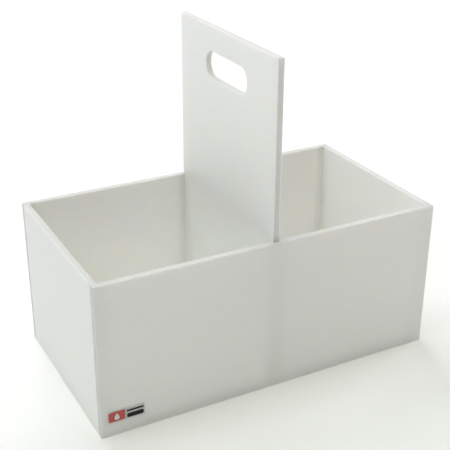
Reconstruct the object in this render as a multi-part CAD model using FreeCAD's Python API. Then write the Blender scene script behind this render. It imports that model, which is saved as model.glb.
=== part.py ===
import FreeCAD, Part
import os

# A cleaning caddy: an open-topped tote of flat plastic sheet, joined at its edges, with two equal
# compartments. The divider between them stands twice as tall as the walls and is the carry handle.
#
# Frame: +X along the caddy's length, the front wall on the -Y side, +Z up. The origin is at the
# middle of the underside. Millimetres.

# Driving dimensions
LENGTH = 355.6
WIDTH = 192.8
WALL_HEIGHT = 154.0
OVERALL_HEIGHT = 324.0
SHEET = 6.35

# The divider's edges and foot are let into grooves half as deep as the sheet.
GROOVE_DEPTH = SHEET / 2

# Hand slot in the divider, with fully rounded ends
SLOT_LENGTH = 79.0
SLOT_HEIGHT = 25.4
SLOT_BELOW_TOP = 23.7

# How much each kind of exposed edge is rounded
UPRIGHT_CORNER_EASE = 1.2
RIM_EASE = 1.0
FOOT_EASE = 0.6
HANDLE_EASE = 0.8
SLOT_EASE = 1.2
HANDLE_CORNER_RADIUS = 1.2

# Printed film label, low on the front wall
LABEL_LENGTH = 36.0
LABEL_HEIGHT = 12.6
LABEL_THICKNESS = 0.15
LABEL_CORNER_RADIUS = 1.5
LABEL_FROM_LEFT = 6.5
LABEL_ABOVE_FOOT = 13.5

# Places that follow from the driving dimensions
HALF_LENGTH = LENGTH / 2
HALF_WIDTH = WIDTH / 2
INNER_HALF_LENGTH = HALF_LENGTH - SHEET
INNER_HALF_WIDTH = HALF_WIDTH - SHEET
DIVIDER_HALF_WIDTH = INNER_HALF_WIDTH + GROOVE_DEPTH
DIVIDER_FOOT = SHEET - GROOVE_DEPTH
SLOT_MIDDLE = OVERALL_HEIGHT - SLOT_BELOW_TOP - SLOT_HEIGHT / 2
NEAR = 0.01


def block(x_span, y_span, z_span):
    """A box between the two ends of each span."""
    size = [high - low for low, high in (x_span, y_span, z_span)]
    corner = FreeCAD.Vector(x_span[0], y_span[0], z_span[0])
    return Part.makeBox(*size, corner)


def ease(shape, radius, wanted):
    """Round the edges whose bounding box passes the test."""
    edges = [edge for edge in shape.Edges if wanted(edge.BoundBox)]
    return shape.makeFillet(radius, edges)


def is_upright(box):
    return box.ZLength > box.XLength + box.YLength


def is_foot(box):
    return box.ZMax < NEAR


def is_wall_rim(box):
    return abs(box.ZMin - WALL_HEIGHT) < NEAR


def is_handle_top_corner(box):
    return box.XLength > SHEET - NEAR and box.ZMin > OVERALL_HEIGHT - NEAR


def is_handle_outline(box):
    """The edges of the two broad faces, apart from where the handle meets the walls."""
    return box.XLength < NEAR and box.ZMax > WALL_HEIGHT + NEAR


def is_slot_rim(box):
    beside = abs(box.Center.y) < SLOT_LENGTH / 2
    level = abs(box.Center.z - SLOT_MIDDLE) < SLOT_HEIGHT / 2 + NEAR
    return box.XLength < NEAR and beside and level


def is_through_film(box):
    return box.YLength > LABEL_THICKNESS - NEAR


def wall_ring():
    """The four walls as one ring, eased as they are scraped after joining."""
    outside = block((-HALF_LENGTH, HALF_LENGTH), (-HALF_WIDTH, HALF_WIDTH), (0, WALL_HEIGHT))
    outside = ease(outside, UPRIGHT_CORNER_EASE, is_upright)
    outside = ease(outside, FOOT_EASE, is_foot)
    inside = block(
        (-INNER_HALF_LENGTH, INNER_HALF_LENGTH),
        (-INNER_HALF_WIDTH, INNER_HALF_WIDTH),
        (0, WALL_HEIGHT),
    )
    return ease(outside.cut(inside), RIM_EASE, is_wall_rim)


def groove():
    """The room that the divider takes up in the walls and the base."""
    return block(
        (-SHEET / 2, SHEET / 2),
        (-DIVIDER_HALF_WIDTH, DIVIDER_HALF_WIDTH),
        (DIVIDER_FOOT, WALL_HEIGHT),
    )


def long_wall(ring, side):
    """The front wall (side -1) or the back wall (side 1): full length, grooved for the divider."""
    y_span = sorted((side * INNER_HALF_WIDTH, side * HALF_WIDTH))
    wall = ring.common(block((-HALF_LENGTH, HALF_LENGTH), y_span, (0, WALL_HEIGHT)))
    return wall.cut(groove())


def end_wall(ring, side):
    """The left end (side -1) or the right end (side 1), between the two long walls."""
    x_span = sorted((side * INNER_HALF_LENGTH, side * HALF_LENGTH))
    return ring.common(block(x_span, (-INNER_HALF_WIDTH, INNER_HALF_WIDTH), (0, WALL_HEIGHT)))


def base_panel():
    """The floor, inside all four walls and level with their feet, grooved for the divider."""
    floor = block(
        (-INNER_HALF_LENGTH, INNER_HALF_LENGTH),
        (-INNER_HALF_WIDTH, INNER_HALF_WIDTH),
        (0, SHEET),
    )
    return floor.cut(groove())


def hand_slot():
    """A slot through the divider, as long as four fingers are wide."""
    radius = SLOT_HEIGHT / 2
    half_run = SLOT_LENGTH / 2 - radius
    across = FreeCAD.Vector(1, 0, 0)
    slot = block(
        (-SHEET, SHEET),
        (-half_run, half_run),
        (SLOT_MIDDLE - radius, SLOT_MIDDLE + radius),
    )
    for end in (-half_run, half_run):
        slot = slot.fuse(
            Part.makeCylinder(radius, 2 * SHEET, FreeCAD.Vector(-SHEET, end, SLOT_MIDDLE), across)
        )
    return slot.removeSplitter()


def divider_handle():
    """The centre panel: square-edged where it is let in, eased and slotted above the walls."""
    let_in = groove()
    handle = block(
        (-SHEET / 2, SHEET / 2),
        (-DIVIDER_HALF_WIDTH, DIVIDER_HALF_WIDTH),
        (WALL_HEIGHT, OVERALL_HEIGHT),
    )
    handle = ease(handle, HANDLE_CORNER_RADIUS, is_handle_top_corner)
    handle = ease(handle, HANDLE_EASE, is_handle_outline)
    handle = ease(handle.cut(hand_slot()), SLOT_EASE, is_slot_rim)
    return let_in.fuse(handle).removeSplitter()


def front_label():
    """A small film label with rounded corners, flat on the front wall."""
    left = -HALF_LENGTH + LABEL_FROM_LEFT
    film = block(
        (left, left + LABEL_LENGTH),
        (-HALF_WIDTH - LABEL_THICKNESS, -HALF_WIDTH),
        (LABEL_ABOVE_FOOT, LABEL_ABOVE_FOOT + LABEL_HEIGHT),
    )
    return ease(film, LABEL_CORNER_RADIUS, is_through_film)


def main():
    os.makedirs("parts", exist_ok=True)
    ring = wall_ring()
    panels = {
        "base_panel": base_panel(),
        "front_wall": long_wall(ring, -1),
        "back_wall": long_wall(ring, 1),
        "left_end": end_wall(ring, -1),
        "right_end": end_wall(ring, 1),
        "divider_handle": divider_handle(),
        "front_label": front_label(),
    }
    for name, shape in panels.items():
        # A boolean gives a compound, and each node is written as the one solid in it.
        solid, = shape.Solids
        solid.exportStep(f"parts/{name}.step")
        print(name, "valid" if solid.isValid() else "NOT VALID", round(solid.Volume / 1000, 2), "cm3")


main()
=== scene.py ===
import math

import bmesh
import bpy
from mathutils import Matrix, Vector


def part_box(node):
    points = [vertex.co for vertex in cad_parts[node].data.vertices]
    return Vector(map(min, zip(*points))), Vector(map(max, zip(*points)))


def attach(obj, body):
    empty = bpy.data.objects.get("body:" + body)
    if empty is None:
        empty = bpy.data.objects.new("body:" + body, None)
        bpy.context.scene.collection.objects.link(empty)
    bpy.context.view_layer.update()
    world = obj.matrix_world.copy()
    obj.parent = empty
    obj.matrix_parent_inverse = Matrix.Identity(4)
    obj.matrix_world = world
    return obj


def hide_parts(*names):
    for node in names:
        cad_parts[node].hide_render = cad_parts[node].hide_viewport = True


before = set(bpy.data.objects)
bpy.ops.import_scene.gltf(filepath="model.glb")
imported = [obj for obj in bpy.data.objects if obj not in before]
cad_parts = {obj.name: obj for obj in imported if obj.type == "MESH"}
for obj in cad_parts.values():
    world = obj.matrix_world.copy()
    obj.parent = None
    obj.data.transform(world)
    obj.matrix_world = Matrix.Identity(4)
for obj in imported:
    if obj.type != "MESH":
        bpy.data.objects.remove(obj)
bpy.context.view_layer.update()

# A cleaning caddy of joined white plastic sheets, in metres and in the CAD frame: +X along it,
# the front wall at -Y, +Z up to the handle.

# The axis that each panel is thin along. The panel's broad faces look along it.
THIN_AXIS = {
    "base_panel": "Z",
    "front_wall": "Y",
    "back_wall": "Y",
    "left_end": "X",
    "right_end": "X",
    "divider_handle": "X",
}
AXES = "XYZ"

# The camera stands in front of the left end and looks a little down on the caddy.
CAMERA_AIM = Vector((-0.0079, -0.0094, 0.1371))
CAMERA_DISTANCE = 0.9354
CAMERA_AZIMUTH = -28.134
CAMERA_ELEVATION = 25.614
CAMERA_ROLL = 0.295
CAMERA_LENS = 76.64
CAMERA_SENSOR = 36.0

# Softboxes: azimuth and elevation in degrees (azimuth 0 is in front, -90 is left), watts, color.
SOFTBOXES = {
    "top": (0, 89, 12.0, (1.0, 0.99, 0.93)),
    "front_left": (-45, 66, 5.0, (1.0, 0.76, 0.1)),
    "left": (-90, 56, 27.0, (0.84, 0.95, 0.95)),
    "back": (180, 45, 38.0, (0.99, 0.96, 1.0)),
    "right": (90, 45, 9.0, (0.95, 0.98, 1.0)),
    "right_low": (90, 12, 26.0, (0.96, 1.0, 0.95)),
}
SOFTBOX_SIZE = 1.8
SOFTBOX_DISTANCE = 2.7
SOFTBOX_AIM = Vector((0, 0, 0.12))

# The room is dim overhead and brighter at the horizon, where its walls are. The walls fade out at
# the height whose sine is WALL_TOP.
CEILING_LIGHT = 0.05
WALL_LIGHT = 0.35
WALL_TOP = 0.12

# The floor glows a little under the caddy and strongly far out.
FLOOR_RADIUS = 9
FLOOR_GLOW = 0.12
FAR_FLOOR_GLOW = 0.9
NEAR_FLOOR_EDGE = 1.2
FAR_FLOOR_EDGE = 3.2


# ------------------------------------------------------------------ materials

SHADER_SOCKETS = {
    "color": "Base Color",
    "roughness": "Roughness",
    "normal": "Normal",
    "ior": "IOR",
    "alpha": "Alpha",
    "scatter": "Subsurface Weight",
    "scatter_radius": "Subsurface Radius",
    "scatter_scale": "Subsurface Scale",
    "glow_color": "Emission Color",
    "glow": "Emission Strength",
}


class Look:
    """A procedural material. Each call adds nodes and returns the socket that carries the result."""

    def __init__(self, name):
        self.material = bpy.data.materials.new(name)
        self.material.use_nodes = True
        self.tree = self.material.node_tree
        self.shader = self.tree.nodes["Principled BSDF"]
        coordinates = self.tree.nodes.new("ShaderNodeTexCoord")
        self.position = coordinates.outputs["Object"]
        self.facing = coordinates.outputs["Normal"]

    def put(self, socket, value):
        """Links a socket, or stores a plain value."""
        if isinstance(value, bpy.types.NodeSocket):
            self.tree.links.new(value, socket)
        else:
            socket.default_value = value

    def math(self, operation, *values):
        node = self.tree.nodes.new("ShaderNodeMath")
        node.operation = operation
        for socket, value in zip(node.inputs, values):
            self.put(socket, value)
        return node.outputs[0]

    def vector(self, operation, *values):
        node = self.tree.nodes.new("ShaderNodeVectorMath")
        node.operation = operation
        for socket, value in zip(node.inputs, values):
            self.put(socket, value)
        return node.outputs["Value" if operation == "LENGTH" else "Vector"]

    def along(self, axis, vector):
        """One component of a vector."""
        node = self.tree.nodes.new("ShaderNodeSeparateXYZ")
        self.put(node.inputs[0], vector)
        return node.outputs[axis]

    def noise(self, scale, detail=2.0, roughness=0.5, stretch=(1, 1, 1)):
        """Noise through the solid, with scale in features per metre."""
        node = self.tree.nodes.new("ShaderNodeTexNoise")
        self.put(node.inputs["Vector"], self.vector("MULTIPLY", self.position, stretch))
        self.put(node.inputs["Scale"], scale)
        self.put(node.inputs["Detail"], detail)
        self.put(node.inputs["Roughness"], roughness)
        return node.outputs["Fac"]

    def span(self, value, low, high, to_low=0.0, to_high=1.0, smooth=False):
        """Maps low..high to to_low..to_high, and holds the end values outside it."""
        node = self.tree.nodes.new("ShaderNodeMapRange")
        node.interpolation_type = "SMOOTHSTEP" if smooth else "LINEAR"
        self.put(node.inputs["Value"], value)
        self.put(node.inputs["From Min"], low)
        self.put(node.inputs["From Max"], high)
        self.put(node.inputs["To Min"], to_low)
        self.put(node.inputs["To Max"], to_high)
        return node.outputs["Result"]

    def mix(self, factor, first, second):
        """A blend of two colors."""
        node = self.tree.nodes.new("ShaderNodeMix")
        node.data_type = "RGBA"
        color_inputs = [socket for socket in node.inputs if socket.type == "RGBA"]
        self.put(node.inputs[0], factor)
        self.put(color_inputs[0], first)
        self.put(color_inputs[1], second)
        return node.outputs["Result"]

    def bump(self, height, distance, strength, normal=None):
        """Raises the surface by up to the distance, in metres, on top of an earlier bump."""
        node = self.tree.nodes.new("ShaderNodeBump")
        self.put(node.inputs["Height"], height)
        self.put(node.inputs["Distance"], distance)
        self.put(node.inputs["Strength"], strength)
        if normal:
            self.put(node.inputs["Normal"], normal)
        return node.outputs["Normal"]

    def finish(self, **values):
        """Gives the shader its color, roughness and so on, by the names in SHADER_SOCKETS."""
        for name, value in values.items():
            self.put(self.shader.inputs[SHADER_SOCKETS[name]], value)
        return self.material


SHEET_COLOR = (0.985, 0.988, 0.966, 1)
SHEET_CLOUD_COLOR = (0.978, 0.982, 0.959, 1)
# The sawn edges are greyer and a little bluer than the sheet. This is partly the cut surface's own grey
# and partly painted shade that dims the brightly lit rims.
CUT_EDGE_GREY_AND_PAINTED_SHADE = (0.75, 0.755, 0.755, 1)
SKIN_ROUGHNESS = (0.38, 0.48)
SAWN_EXTRA_ROUGHNESS = 0.35
# How many clouds, waves, grains and saw lines there are to a metre
CLOUD_SCALE = 9.0
WAVE_SCALE = 35.0
GRAIN_SCALE = 900.0
SAW_LINE_SCALE = 500.0
# How high the relief stands
WAVE_HEIGHT = 0.0006
GRAIN_HEIGHT = 0.00003
SAW_LINE_HEIGHT = 0.0001
# How far light spreads inside a sheet, and where near a joint it starts and stops being held back
SCATTER_DISTANCE = 0.0075
SCATTER_BY_COLOR = (1.0, 0.95, 0.8)
JOINT_CLEAR = 0.002
JOINT_FADE = 0.0105
# Panels closer than this touch.
TOUCHING = 0.00002


def joints_of(panel):
    """The low and high corners of every place where the panel touches another one."""
    joints = []
    low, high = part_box(panel)
    for other in THIN_AXIS:
        other_low, other_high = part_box(other)
        joint_low = Vector(map(max, low, other_low))
        joint_high = Vector(map(min, high, other_high))
        gap = max(joint_low - joint_high)
        if other != panel and gap < TOUCHING:
            joints.append((joint_low, joint_high))
    return joints


def distance_to_joints(look, joints):
    """Metres from the surface to the nearest of the joints."""
    nearest = 1.0
    for low, high in joints:
        from_middle = look.vector("SUBTRACT", look.position, (low + high) / 2)
        outside = look.vector("SUBTRACT", look.vector("ABSOLUTE", from_middle), (high - low) / 2)
        outside = look.vector("MAXIMUM", outside, (0, 0, 0))
        nearest = look.math("MINIMUM", look.vector("LENGTH", outside), nearest)
    return nearest


def sheet_material(panel, seed):
    """Satin, slightly translucent white sheet with sawn edges, whose grey is partly their own and partly
    painted shade.
    """
    look = Look(f"sheet_{panel}")
    thin = THIN_AXIS[panel]
    broad = look.math("ABSOLUTE", look.along(thin, look.facing))
    sawn = look.span(broad, 0.25, 0.75, 1.0, 0.0)

    clouds = look.span(look.noise(CLOUD_SCALE + seed, detail=3), 0.35, 0.7)
    color = look.mix(clouds, SHEET_COLOR, SHEET_CLOUD_COLOR)
    # Painted shade: the sawn edges, the rims among them, take the darker grey-blue edge colour.
    color = look.mix(sawn, color, CUT_EDGE_GREY_AND_PAINTED_SHADE)

    # The rolled skin waves gently and has a fine grain; the saw leaves lines across the edges.
    waves = look.noise(WAVE_SCALE + seed, detail=1)
    grain = look.noise(GRAIN_SCALE, detail=3, roughness=0.6)
    saw_lines = look.noise(SAW_LINE_SCALE, stretch=[0.08 if axis == thin else 1.0 for axis in AXES])
    normal = look.bump(waves, WAVE_HEIGHT, 0.3)
    normal = look.bump(grain, GRAIN_HEIGHT, 0.5, normal)
    normal = look.bump(look.math("MULTIPLY", saw_lines, sawn), SAW_LINE_HEIGHT, 0.6, normal)

    rough = look.span(look.noise(60, detail=4), 0.3, 0.7, *SKIN_ROUGHNESS)
    rough = look.math("MULTIPLY_ADD", sawn, SAWN_EXTRA_ROUGHNESS, rough)

    # Light spreads inside each sheet. Next to a joint it would be lost into the hidden faces,
    # where the real sheets are joined, so there the sheet is opaque.
    distance = distance_to_joints(look, joints_of(panel))
    scatter = look.span(distance, JOINT_CLEAR, JOINT_FADE, smooth=True)
    return look.finish(
        color=color,
        roughness=rough,
        normal=normal,
        ior=1.5,
        scatter=scatter,
        scatter_radius=SCATTER_BY_COLOR,
        scatter_scale=SCATTER_DISTANCE,
    )


def ink_material(name, color, worn_color):
    """Satin printed ink with thin specks."""
    look = Look(name)
    specks = look.span(look.noise(2600, detail=3), 0.58, 0.72)
    grain = look.noise(4000, detail=1)
    return look.finish(
        color=look.mix(specks, color, worn_color),
        roughness=look.span(grain, 0.3, 0.7, 0.4, 0.5),
        normal=look.bump(grain, 0.000008, 0.5),
        ior=1.33,
    )


def film_material():
    """Clear satin film."""
    look = Look("label_film")
    grain = look.noise(3000)
    return look.finish(
        color=look.mix(grain, (0.86, 0.87, 0.84, 1), (0.8, 0.81, 0.78, 1)),
        roughness=look.span(grain, 0.3, 0.7, 0.2, 0.3),
        normal=look.bump(grain, 0.000005, 0.4),
        ior=1.48,
        alpha=0.07,
    )


def floor_material():
    """White board that runs out to a bright far floor."""
    look = Look("floor")
    from_middle = look.vector("LENGTH", look.position)
    glow = look.span(from_middle, NEAR_FLOOR_EDGE, FAR_FLOOR_EDGE, FLOOR_GLOW, FAR_FLOOR_GLOW, smooth=True)
    return look.finish(
        color=look.mix(look.noise(40), (0.96, 0.96, 0.96, 1), (0.95, 0.95, 0.95, 1)),
        roughness=0.85,
        glow_color=(1, 1, 1, 1),
        glow=glow,
    )


# --------------------------------------------------------------------- meshes


def add_mesh(name, mesh, material):
    """Turns a bmesh into an object in the scene."""
    bmesh.ops.recalc_face_normals(mesh, faces=mesh.faces)
    data = bpy.data.meshes.new(name)
    mesh.to_mesh(data)
    mesh.free()
    data.materials.append(material)
    thing = bpy.data.objects.new(name, data)
    bpy.context.scene.collection.objects.link(thing)
    return thing


def add_piece(name, mesh, material):
    """A piece of the caddy, which moves with it."""
    piece = add_mesh(name, mesh, material)
    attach(piece, "root")
    return piece


def plate(outline, y_back, y_front):
    """An upright closed plate with an outline of (x, z) points."""
    mesh = bmesh.new()
    back = mesh.faces.new([mesh.verts.new((x, y_back, z)) for x, z in outline])
    front = bmesh.ops.extrude_face_region(mesh, geom=[back])
    moved = [item for item in front["geom"] if isinstance(item, bmesh.types.BMVert)]
    bmesh.ops.translate(mesh, verts=moved, vec=(0, y_front - y_back, 0))
    return mesh


def rounded_rectangle(low, high, radius, steps=8):
    """The (x, z) points of a rectangle with round corners."""
    points = []
    centres = (
        (high[0] - radius, high[1] - radius),
        (low[0] + radius, high[1] - radius),
        (low[0] + radius, low[1] + radius),
        (high[0] - radius, low[1] + radius),
    )
    for quarter, (x, z) in enumerate(centres):
        for step in range(steps + 1):
            angle = math.pi / 2 * (quarter + step / steps)
            points.append((x + radius * math.cos(angle), z + radius * math.sin(angle)))
    return points


def drop(x, z, height, steps=48):
    """The (x, z) points of a water drop with its point upwards."""
    fullness = 0.486
    taper = 1.6
    points = []
    for step in range(steps):
        angle = math.tau * step / steps
        half_width = fullness * height * math.sin(angle) * math.sin(angle / 2) ** taper
        points.append((x + half_width, z + height / 2 * math.cos(angle)))
    return points


# --------------------------------------------------------------- sheet panels


def dress_panels():
    """Puts the sheet material on the frame's own panels."""
    for seed, panel in enumerate(THIN_AXIS):
        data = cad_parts[panel].data
        data.materials.clear()
        data.materials.append(sheet_material(panel, seed))


# ----------------------------------------------------------------------- label

LABEL_MARGIN = 0.0012
FILM_CORNER = 0.0014
TILE_WIDTH = 0.0156
TILE_CORNER = 0.0011
DROP_HEIGHT = 0.0073
BARS_FROM_LEFT = 0.0186
BAR_ROUNDNESS = 0.3
# How far the film and the print on it reach through the label's thickness
FILM_SHARE = 0.5
PRINT_SHARE = 0.75
# Each bar's rise above the label's lower edge, and its height
BARS = {
    "label_bar_top": (0.0080, 0.0018),
    "label_bar_bottom": (0.0015, 0.0045),
}


def label():
    """A clear film with a drop on a red tile and two plain dark bars."""
    (left, front, low), (right, wall, high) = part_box("front_label")
    film_face = wall + (front - wall) * FILM_SHARE
    print_face = wall + (front - wall) * PRINT_SHARE
    red = ink_material("ink_red", (0.68, 0.12, 0.11, 1), (0.74, 0.34, 0.3, 1))
    pale = ink_material("ink_white", (0.86, 0.86, 0.84, 1), (0.8, 0.78, 0.75, 1))
    dark = ink_material("ink_dark", (0.012, 0.012, 0.014, 1), (0.06, 0.06, 0.06, 1))

    film = plate(rounded_rectangle((left, low), (right, high), FILM_CORNER), wall, film_face)
    pieces = [add_piece("label_film", film, film_material())]

    tile_low = (left + LABEL_MARGIN, low + LABEL_MARGIN)
    tile_high = (tile_low[0] + TILE_WIDTH, high - LABEL_MARGIN)
    tile = plate(rounded_rectangle(tile_low, tile_high, TILE_CORNER), film_face, print_face)
    pieces.append(add_piece("label_tile", tile, red))

    middle = [(a + b) / 2 for a, b in zip(tile_low, tile_high)]
    mark = plate(drop(*middle, DROP_HEIGHT), print_face, front)
    pieces.append(add_piece("label_drop", mark, pale))

    for name, (rise, height) in BARS.items():
        bar_low = (left + BARS_FROM_LEFT, low + rise)
        bar_high = (right - LABEL_MARGIN, low + rise + height)
        bar = plate(rounded_rectangle(bar_low, bar_high, height * BAR_ROUNDNESS), film_face, print_face)
        pieces.append(add_piece(name, bar, dark))

    for piece in pieces:
        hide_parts("front_label")


# ----------------------------------------------------------------------- stage


def stage():
    """A round floor under the caddy."""
    mesh = bmesh.new()
    bmesh.ops.create_circle(mesh, cap_ends=True, radius=FLOOR_RADIUS, segments=96)
    add_mesh("floor", mesh, floor_material())


def direction(azimuth, elevation):
    """From the caddy towards a place given in degrees."""
    azimuth = math.radians(azimuth)
    elevation = math.radians(elevation)
    return Vector((
        math.sin(azimuth) * math.cos(elevation),
        -math.cos(azimuth) * math.cos(elevation),
        math.sin(elevation),
    ))


def room_light():
    """Walls that fade upwards into a dim ceiling."""
    world = bpy.data.worlds.new("studio")
    world.use_nodes = True
    tree = world.node_tree
    coordinates = tree.nodes.new("ShaderNodeTexCoord")
    height = tree.nodes.new("ShaderNodeSeparateXYZ")
    fade = tree.nodes.new("ShaderNodeMapRange")
    fade.interpolation_type = "SMOOTHSTEP"
    fade.inputs["From Max"].default_value = WALL_TOP
    fade.inputs["To Min"].default_value = WALL_LIGHT
    fade.inputs["To Max"].default_value = CEILING_LIGHT
    tree.links.new(coordinates.outputs["Generated"], height.inputs[0])
    tree.links.new(height.outputs["Z"], fade.inputs["Value"])
    tree.links.new(fade.outputs["Result"], tree.nodes["Background"].inputs["Strength"])
    tree.nodes["Background"].inputs["Color"].default_value = (1, 1, 1, 1)
    bpy.context.scene.world = world


def softboxes():
    """Square lamps that face the caddy."""
    for name, (azimuth, elevation, power, color) in SOFTBOXES.items():
        data = bpy.data.lights.new(f"{name}_softbox", "AREA")
        data.size = SOFTBOX_SIZE
        data.energy = power
        data.color = color
        outward = direction(azimuth, elevation)
        lamp = bpy.data.objects.new(data.name, data)
        lamp.location = SOFTBOX_AIM + SOFTBOX_DISTANCE * outward
        lamp.rotation_euler = outward.to_track_quat("Z", "Y").to_euler()
        bpy.context.scene.collection.objects.link(lamp)


def camera():
    """The viewpoint, and plain tones in the picture."""
    data = bpy.data.cameras.new("camera")
    data.lens = CAMERA_LENS
    data.sensor_width = CAMERA_SENSOR
    data.clip_start = 0.01
    outward = direction(CAMERA_AZIMUTH, CAMERA_ELEVATION)
    turn = outward.to_track_quat("Z", "Y").to_matrix()
    turn = turn @ Matrix.Rotation(math.radians(CAMERA_ROLL), 3, "Z")
    eye = bpy.data.objects.new("camera", data)
    eye.location = CAMERA_AIM + CAMERA_DISTANCE * outward
    eye.rotation_euler = turn.to_euler()
    bpy.context.scene.collection.objects.link(eye)
    bpy.context.scene.camera = eye
    bpy.context.scene.view_settings.view_transform = "Standard"


dress_panels()
label()
stage()
room_light()
softboxes()
camera()
